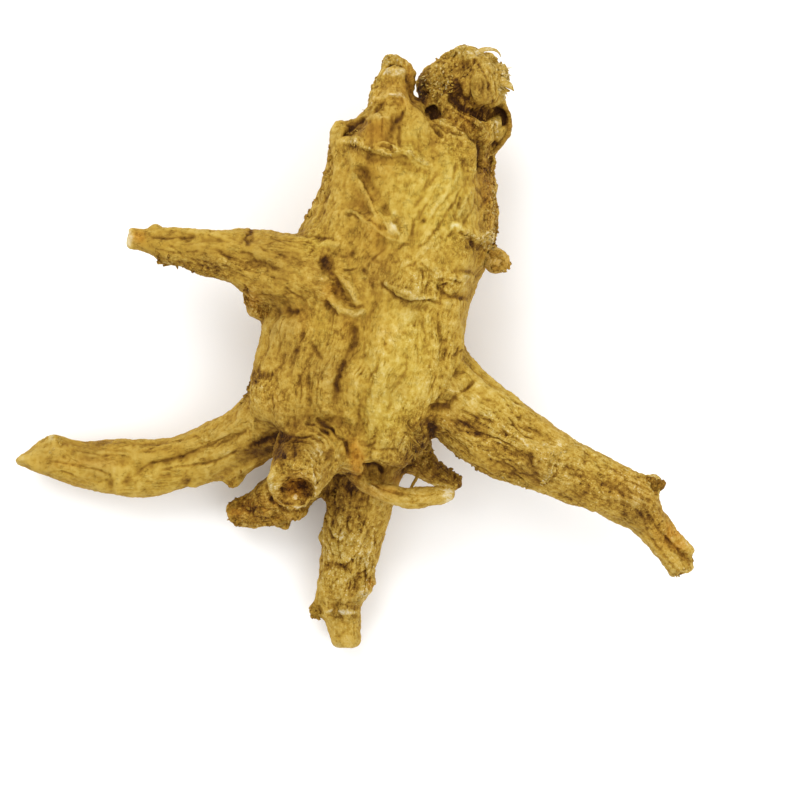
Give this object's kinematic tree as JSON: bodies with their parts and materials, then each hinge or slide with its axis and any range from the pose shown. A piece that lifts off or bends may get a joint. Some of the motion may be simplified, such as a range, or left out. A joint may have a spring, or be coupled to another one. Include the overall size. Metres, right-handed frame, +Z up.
{
  "type": "american ginseng root",
  "caption": "Dried forked root with a stout wrinkled body, knobbly bud crown, one thin arm and several tapering legs, lying on its belly.",
  "frame": {"origin": "middle of the box's bottom, on the surface that the root lies on", "axes": "+X to the right and +Y towards the bud crown as the root is seen from above, +Z up from the surface"},
  "size_m": [0.086, 0.0762, 0.0255],
  "materials": {
    "dried_root_skin": "dry, matt, wrinkled skin in golden tan with dark brown furrows"
  },
  "bodies": {
    "root": {"ginseng_root": "dried_root_skin"}
  },
  "joints": []
}
